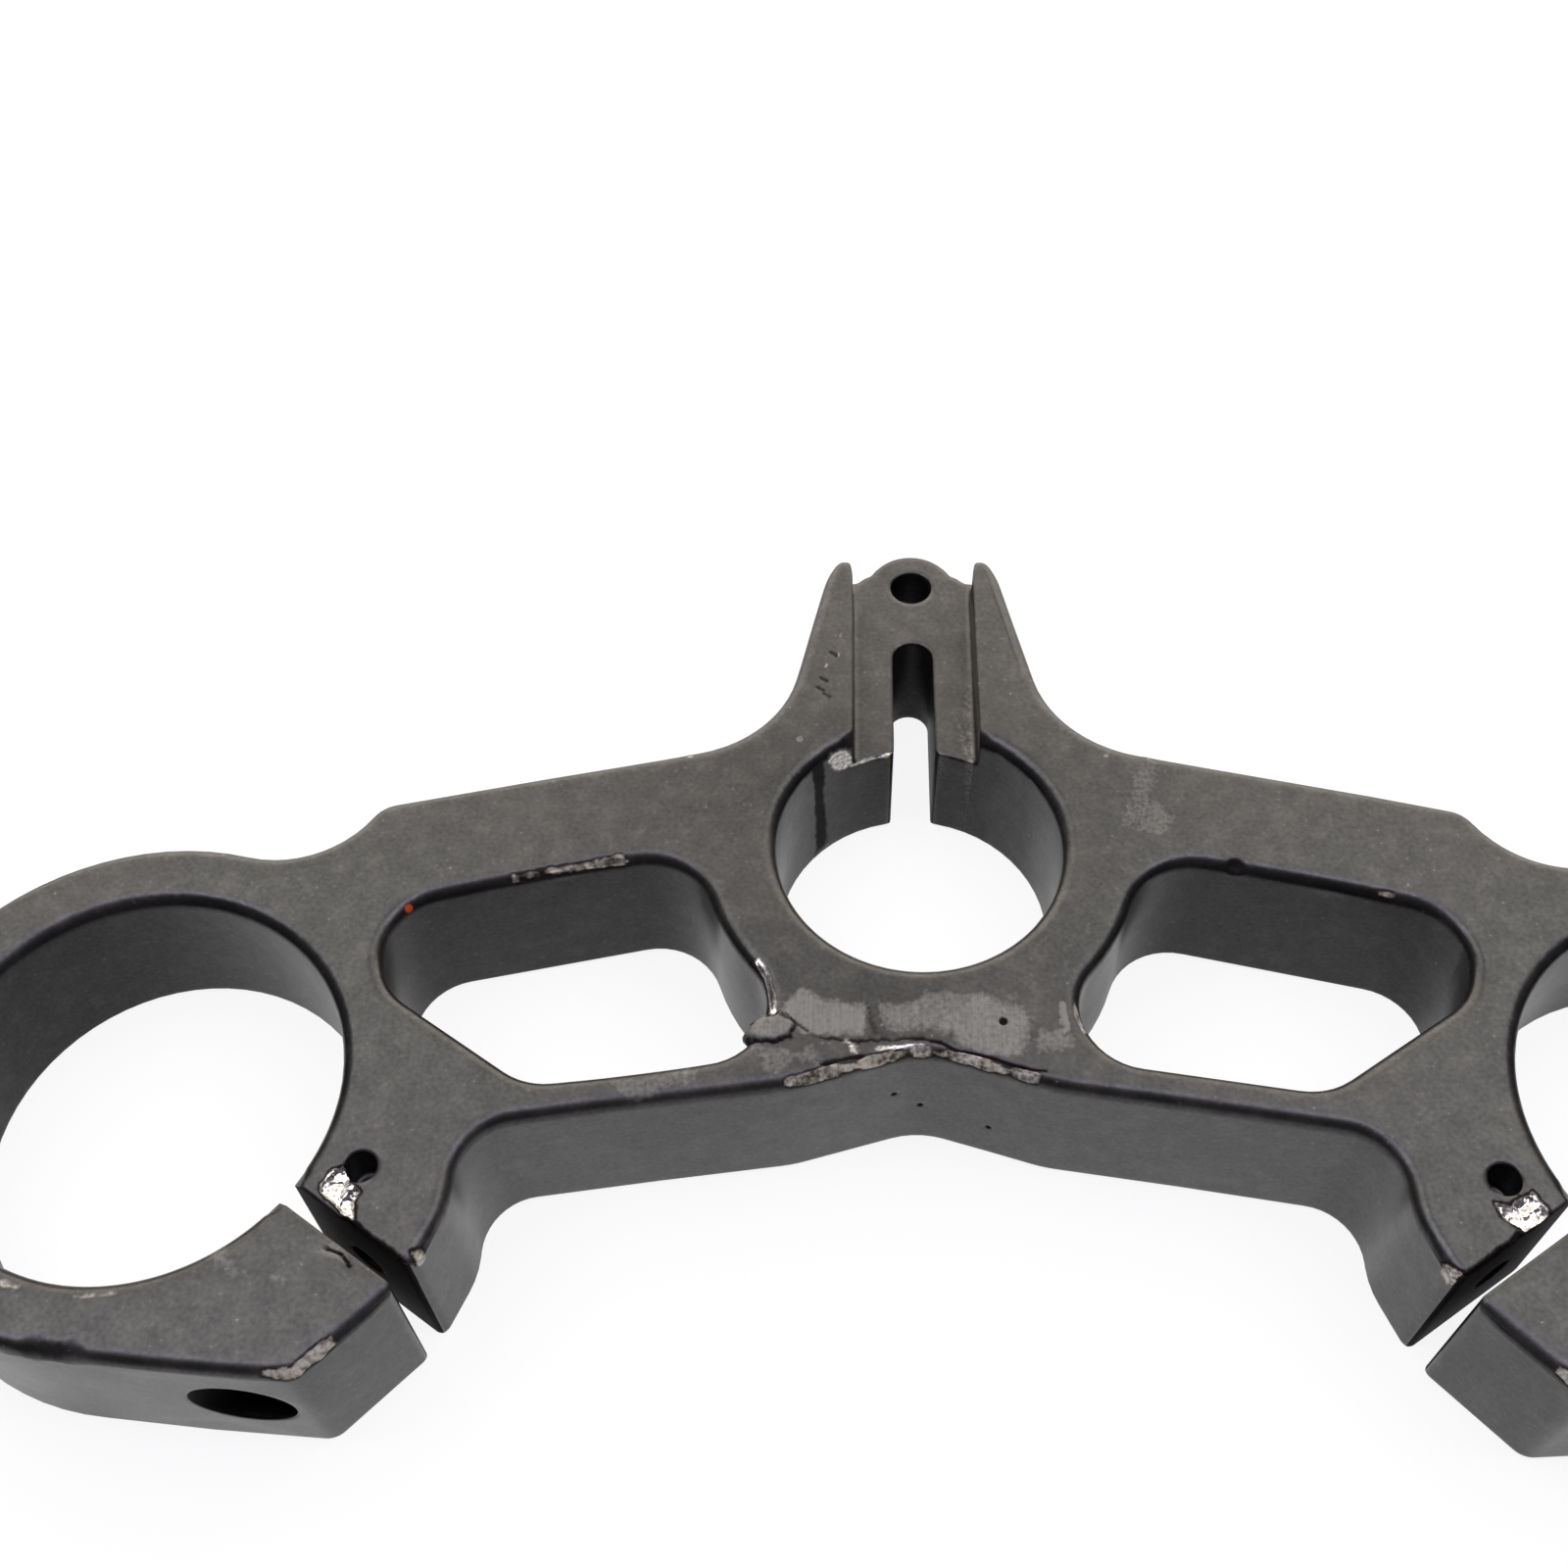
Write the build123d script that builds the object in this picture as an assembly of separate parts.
from build123d import *
from math import cos, radians, sin, sqrt, tan
import os

# Motorcycle triple clamp: one cast aluminium plate that holds two fork tubes and the steering stem.
# Frame: stem axis along +Z, underside on Z = 0, the fork tubes ahead of the stem towards -Y.
# Sizes are in millimetres and degrees.

# Plate
thickness = 23.5
edge_round = 1.7
foot_chamfer = 0.5
rim_chamfer = 1.7
outside_corner_spare = 0.3

# Fork clamps
fork_spacing = 190.0
fork_offset = 34.8
fork_bore_d = 50.0
fork_wall = 8.4

# Steering stem
stem_bore_d = 37.0
stem_wall = 9.5
stem_slot_width = 5.75
stem_slot_length = 19.5
stem_slot_corner_r = 1.2

# Rear arms from the stem to the forks
arm_sweep = 12.4
arm_setback = 20.65
arm_width = 15.8
arm_shoulder_r = 4.5
scallop_r = 14.0
scallop_turn = 13.7

# Nose behind the stem, with its channel, two ears and a drilled boss
nose_lean = 12.85
nose_root_r = 17.0
channel_width = 17.2
channel_depth = 6.0
channel_root_r = 0.8
ear_tip_width = 2.9
ear_inner_r = 1.5
nose_hole_d = 6.0
nose_hole_wall = 3.0
nose_hole_to_slot = 7.5
tail_behind_hole = 0.6
boss_flank_r = 2.6

# Front edge, from the notch ahead of the stem out to the lugs
stem_front_wall = 12.0
notch_sweep = 16.7
notch_half_width = 16.0
notch_r = 12.0
notch_end_r = 20.0
front_sweep = 8.4
front_rail_width = 4.7

# Windows between the rear arms and the front rail
window_fork_wall = 6.8
window_outer_r = 8.5
window_front_r = 9.0
window_stem_r = 8.0
window_back_r = 9.0

# Split and its two lugs, measured from the fork bore along the split
split_angle = 34.2
split_gap = 2.6
split_shift = 0.4
lug_length = 18.7
lug_side_reach = 15.1
lug_side_length = 9.5
lug_root_r = 7.4
lug_bend_r = 11.8
lug_tip_r = 1.2
outer_lug_length = 16.0
outer_lug_depth = 15.0
outer_lug_corner_r = 3.0

# Pinch bolts across the split, M6
pinch_from_bore = 8.7
pinch_clear_d = 6.6
pinch_tap_d = 5.0
pinch_tap_depth = 18.0
pinch_head_d = 11.0
pinch_under_head = 6.5

# Small locating hole in the top of each inner lug
pin_hole_d = 4.0
pin_hole_depth = 6.0
pin_from_bore = 5.4
pin_from_split = 5.8

# Cutters run this far past the faces that they open
through = 5.0

# Worked-out places, for the right-hand half (+X)
fork_r = fork_bore_d / 2
ring_r = fork_r + fork_wall
stem_r = stem_bore_d / 2
boss_r = stem_r + stem_wall
fork_axis = Vector(fork_spacing / 2, -fork_offset)
floor_z = thickness - channel_depth

slot_end_y = stem_r + stem_slot_length
nose_hole_r = nose_hole_d / 2
nose_hole_y = slot_end_y + nose_hole_to_slot + nose_hole_r
nose_boss_r = nose_hole_r + nose_hole_wall
tail_y = nose_hole_y + tail_behind_hole
tail_half = channel_width / 2 + ear_tip_width
corner_r = edge_round + outside_corner_spare

arm_dir = Vector(cos(radians(arm_sweep)), -sin(radians(arm_sweep)))
arm_out = Vector(sin(radians(arm_sweep)), cos(radians(arm_sweep)))
front_dir = Vector(cos(radians(front_sweep)), -sin(radians(front_sweep)))
front_in = Vector(sin(radians(front_sweep)), cos(radians(front_sweep)))
nose_dir = Vector(sin(radians(nose_lean)), -cos(radians(nose_lean)))
split_dir = Vector(-cos(radians(split_angle)), -sin(radians(split_angle)))
split_in = Vector(-sin(radians(split_angle)), cos(radians(split_angle)))


def meet(p, p_dir, q, q_dir):
    """Crossing point of two lines, each given by a point and a direction."""
    cross = p_dir.X * q_dir.Y - p_dir.Y * q_dir.X
    along = ((q.X - p.X) * q_dir.Y - (q.Y - p.Y) * q_dir.X) / cross
    return p + p_dir * along


def beside_circle(p, p_dir, centre, reach):
    """Point of the line through p, on its far side along p_dir, at a distance from a centre."""
    foot = p + p_dir * (centre - p).dot(p_dir)
    return foot + p_dir * sqrt(reach ** 2 - (centre - foot).length ** 2)


def arc(centre, start, end):
    """Arc about a centre, the short way from start to end."""
    middle = ((start - centre) + (end - centre)).normalized()
    return ThreePointArc(start, centre + middle * (start - centre).length, end)


def corner_round(before, corner, after, reach):
    """Centre, start and end of the arc that rounds a corner, with its ends a reach from the corner."""
    back = (before - corner).normalized()
    ahead = (after - corner).normalized()
    half_opening = radians(back.get_angle(ahead)) / 2
    centre = corner + (back + ahead).normalized() * (reach / cos(half_opening))
    return centre, corner + back * reach, corner + ahead * reach


def corner_reach(before, corner, after, radius):
    """How far from a corner an arc of this radius starts."""
    return radius / tan(radians((before - corner).get_angle(after - corner)) / 2)


def rounded_chain(points, radii):
    """Lines through the points with a tangent arc at each inner point, limited by the line it stands on."""
    inner = list(zip(points, points[1:], points[2:]))
    wanted = [0] + [corner_reach(*corner, radius) for corner, radius in zip(inner, radii)] + [0]
    lengths = [(q - p).length for p, q in zip(points, points[1:])]
    fits = [min(1, 0.95 * length / (a + b)) for length, a, b in zip(lengths, wanted, wanted[1:])]
    edges = []
    last = points[0]
    for corner, reach, fit_before, fit_after in zip(inner, wanted[1:], fits, fits[1:]):
        centre, start, end = corner_round(*corner, reach * min(fit_before, fit_after))
        edges += [Line(last, start), arc(centre, start, end)]
        last = end
    return edges + [Line(last, points[-1])]


def flip(p):
    """The same place on the left-hand half."""
    return Vector(-p.X, p.Y)


def both_ways(points):
    """A chain of right-hand points, carried on through their mirror images."""
    return points + [flip(p) for p in reversed(points)]


# Rear arm: its rear edge, and the scallop that clears the fork clamp
arm_edge = arm_out * arm_setback
scallop_dir = Vector(-sin(radians(scallop_turn)), cos(radians(scallop_turn)))
scallop_centre = fork_axis + scallop_dir * (ring_r + scallop_r)
scallop_end = fork_axis + scallop_dir * ring_r
shoulder_line = arm_edge - arm_out * arm_shoulder_r
shoulder_reach = scallop_r + arm_shoulder_r
shoulder_centre = beside_circle(shoulder_line, arm_dir * -1, scallop_centre, shoulder_reach)
shoulder_start = shoulder_centre + arm_out * arm_shoulder_r
shoulder_end = shoulder_centre + (scallop_centre - shoulder_centre).normalized() * arm_shoulder_r

# Nose: the ears' outer sides lean in from the arms to the tail
ear_corner = Vector(tail_half, tail_y)
nose_root = meet(ear_corner, nose_dir, arm_edge, arm_dir)

# Front: notch, rail, lugs and the tangent from the outer lug to the clamp ring
notch_rise = notch_r * (1 / cos(radians(notch_sweep)) - 1)
notch_point = Vector(0, notch_rise - stem_r - stem_front_wall)
notch_end = notch_point + Vector(notch_half_width, -notch_half_width * tan(radians(notch_sweep)))
lug_side_x = fork_axis.X - fork_r - lug_side_reach
lug_root = meet(notch_end, front_dir, Vector(lug_side_x, 0), Vector(0, 1))
lug_bend = lug_root - Vector(0, lug_side_length)
lug_mouth = fork_axis + split_dir * (fork_r + lug_length)
outer_corner = fork_axis + split_dir * (fork_r + outer_lug_length) - split_in * outer_lug_depth
to_corner = outer_corner - fork_axis
tangent_run = sqrt(to_corner.length ** 2 - ring_r ** 2)
across_corner = Vector(-to_corner.Y, to_corner.X)
ring_touch = to_corner * ring_r + across_corner * tangent_run
ring_touch = fork_axis + ring_touch * (ring_r / to_corner.length ** 2)


def clamp_side(place):
    """Shoulder, scallop and clamp ring of one side, with place giving the side of each point."""
    outermost = fork_axis + Vector(ring_r, 0)
    return [
        arc(place(shoulder_centre), place(shoulder_start), place(shoulder_end)),
        arc(place(scallop_centre), place(shoulder_end), place(scallop_end)),
        ThreePointArc(place(scallop_end), place(outermost), place(ring_touch)),
    ]


def plate_outline():
    """Outer outline of the casting, without the boss behind the tail."""
    rear_points = both_ways([shoulder_start, nose_root, ear_corner])
    rear_radii = [nose_root_r, corner_r, corner_r, nose_root_r]
    # The corner at the lugs' mouth falls in the saw cut
    half = [ring_touch, outer_corner, lug_mouth, lug_bend, lug_root, notch_end]
    half_radii = [outer_lug_corner_r, corner_r, lug_bend_r, lug_root_r, notch_end_r]
    front_points = half + [notch_point] + [flip(p) for p in reversed(half)]
    front_radii = half_radii + [notch_r] + half_radii[::-1]
    edges = rounded_chain(rear_points, rear_radii) + rounded_chain(front_points, front_radii)
    return make_face(edges + clamp_side(lambda p: p) + clamp_side(flip))


def window():
    """Right-hand window: two lines and the split's direction, rounded against the fork and the stem."""
    back_edge = arm_edge - arm_out * arm_width
    front_edge = notch_end + front_in * front_rail_width
    stem = Vector(0, 0)
    fork_reach = fork_r + window_fork_wall + window_outer_r
    outer = beside_circle(back_edge - arm_out * window_outer_r, arm_dir * -1, fork_axis, fork_reach)
    diagonal = outer - split_in * window_outer_r
    front = meet(
        diagonal + split_in * window_front_r, split_dir, front_edge + front_in * window_front_r, front_dir
    )
    rail_line = front_edge + front_in * window_stem_r
    stem_side = beside_circle(rail_line, front_dir, stem, boss_r + window_stem_r)
    back = beside_circle(back_edge - arm_out * window_back_r, arm_dir, stem, boss_r + window_back_r)
    back_start = back + arm_out * window_back_r
    back_end = outer + arm_out * window_outer_r
    diagonal_end = front - split_in * window_front_r
    rail_start = front - front_in * window_front_r
    rail_end = stem_side - front_in * window_stem_r
    boss_start = stem_side.normalized() * boss_r
    boss_end = back.normalized() * boss_r
    return make_face(
        [
            Line(back_start, back_end),
            arc(outer, back_end, diagonal),
            Line(diagonal, diagonal_end),
            arc(front, diagonal_end, rail_start),
            Line(rail_start, rail_end),
            arc(stem_side, rail_end, boss_start),
            arc(stem, boss_start, boss_end),
            arc(back, boss_end, back_start),
        ]
    )


def bore(radius):
    """Cutter for a round hole through the plate, with both rims chamfered."""
    profile = Polyline(
        (0, -through),
        (radius + foot_chamfer + through, -through),
        (radius, foot_chamfer),
        (radius, thickness - rim_chamfer),
        (radius + rim_chamfer + through, thickness + through),
        (0, thickness + through),
        close=True,
    )
    return revolve(Plane.XZ * make_face(profile), Axis.Z)


def corner_cut(before, corner, after, radius):
    """What rounding takes off a sharp outside corner, reaching a little past it."""
    reach = corner_reach(before, corner, after, radius)
    centre, start, end = corner_round(before, corner, after, reach)
    outside = corner + (corner - centre).normalized() * radius
    return make_face([arc(centre, start, end), Line(end, outside), Line(outside, start)])


def stem_cut():
    """Stem bore with the blind-ended slot behind it, its two corners eased."""
    slot_r = stem_slot_width / 2
    straight = slot_end_y - slot_r
    slot = Pos(0, straight / 2) * Rectangle(stem_slot_width, straight) + Pos(0, straight) * Circle(slot_r)
    opening = Circle(stem_r) + slot
    corner_y = sqrt(stem_r ** 2 - slot_r ** 2)
    corners = [opening.vertices().sort_by_distance((x, corner_y, 0))[0] for x in (-slot_r, slot_r)]
    opening = fillet(corners, stem_slot_corner_r)
    return Pos(0, 0, -through) * extrude(opening, thickness + 2 * through) + bore(stem_r)


def channel_cut():
    """Channel along the top of the nose, from the stem bore out through the tail, easing the ears."""
    length = tail_y + nose_boss_r + through
    height = channel_depth + through
    side = channel_width / 2
    profile = Pos(0, height / 2) * Rectangle(channel_width, height)
    profile = fillet(profile.vertices().group_by(Axis.Y)[0], channel_root_r)
    cut = Pos(0, 0, floor_z) * extrude(Plane.XZ * profile, -length)
    ear = corner_cut(Vector(side, 0), Vector(side, tail_y), ear_corner, ear_inner_r)
    ear = Pos(0, 0, floor_z) * extrude(ear, height)
    return cut + ear + mirror(ear, about=Plane.YZ)


def tail_boss():
    """Boss round the nose hole, as high as the channel floor, with hollow flanks into the tail."""
    inside = tail_y - stem_r
    block = Pos(0, tail_y - inside / 2) * Rectangle(2 * (tail_half - corner_r), inside)
    shape = block + Pos(0, nose_hole_y) * Circle(nose_boss_r)
    corner_x = sqrt(nose_boss_r ** 2 - tail_behind_hole ** 2)
    corners = [shape.vertices().sort_by_distance((x, tail_y, 0))[0] for x in (-corner_x, corner_x)]
    return extrude(fillet(corners, boss_flank_r), floor_z)


def split_cut():
    """Saw cut from the fork bore out through the lugs, easing the tips of both lugs."""
    start = fork_axis + split_in * split_shift
    reach = split_dir * (fork_r + lug_length + 2 * through)
    sides = [start + split_in * (split_gap / 2), start - split_in * (split_gap / 2)]
    cut = make_face(Polyline(sides[0], sides[0] + reach, sides[1] + reach, sides[1], close=True))
    for side, end in zip(sides, (lug_bend, outer_corner)):
        tip = meet(side, split_dir, lug_mouth, end - lug_mouth)
        cut += corner_cut(side, tip, end, lug_tip_r)
    return Pos(0, 0, -through) * extrude(cut, thickness + 2 * through)


def pinch_cut():
    """Pinch bolt: tapped hole in the inner lug, clearance hole and head recess in the outer lug."""
    crossing = fork_axis + split_dir * (fork_r + pinch_from_bore) + split_in * split_shift
    centre = Vector(crossing.X, crossing.Y, thickness / 2)
    across = Plane(origin=centre, z_dir=split_in)
    tap_end = split_gap / 2 + pinch_tap_depth
    seat = split_gap / 2 + pinch_under_head
    recess = ring_r + outer_lug_depth
    low = (Align.CENTER, Align.CENTER, Align.MIN)
    high = (Align.CENTER, Align.CENTER, Align.MAX)
    tapped = across * Cylinder(pinch_tap_d / 2, tap_end, align=low)
    clearance = across * Cylinder(pinch_clear_d / 2, seat, align=high)
    head = across * Pos(0, 0, -seat) * Cylinder(pinch_head_d / 2, recess, align=high)
    return tapped + clearance + head


def pin_hole():
    """Blind locating hole in the top of the inner lug."""
    aside = split_shift + split_gap / 2 + pin_from_split
    spot = fork_axis + split_dir * (fork_r + pin_from_bore) + split_in * aside
    low = (Align.CENTER, Align.CENTER, Align.MIN)
    drill = Cylinder(pin_hole_d / 2, pin_hole_depth + through, align=low)
    return Pos(spot.X, spot.Y, thickness - pin_hole_depth) * drill


# Casting: the plate with its windows and the boss, rounded above and chamfered below
plate = plate_outline() - window() - mirror(window(), about=Plane.YZ)
casting = extrude(plate, thickness) + tail_boss()
casting = fillet(casting.edges().group_by(Axis.Z)[-1], edge_round)
casting = chamfer(casting.edges().group_by(Axis.Z)[0], foot_chamfer)

# Machining: stem bore and slot, channel, nose hole, then the same cuts on each fork clamp
casting = casting - stem_cut() - channel_cut()
casting = casting - Pos(0, nose_hole_y) * Cylinder(nose_hole_r, 2 * (thickness + through))
side_cuts = [split_cut(), pinch_cut(), pin_hole(), Pos(fork_axis.X, fork_axis.Y) * bore(fork_r)]
for cut in side_cuts:
    casting = casting - cut - mirror(cut, about=Plane.YZ)

os.makedirs("parts", exist_ok=True)
triple_clamp = casting.solids()[0]
export_step(triple_clamp, "parts/triple_clamp.step")
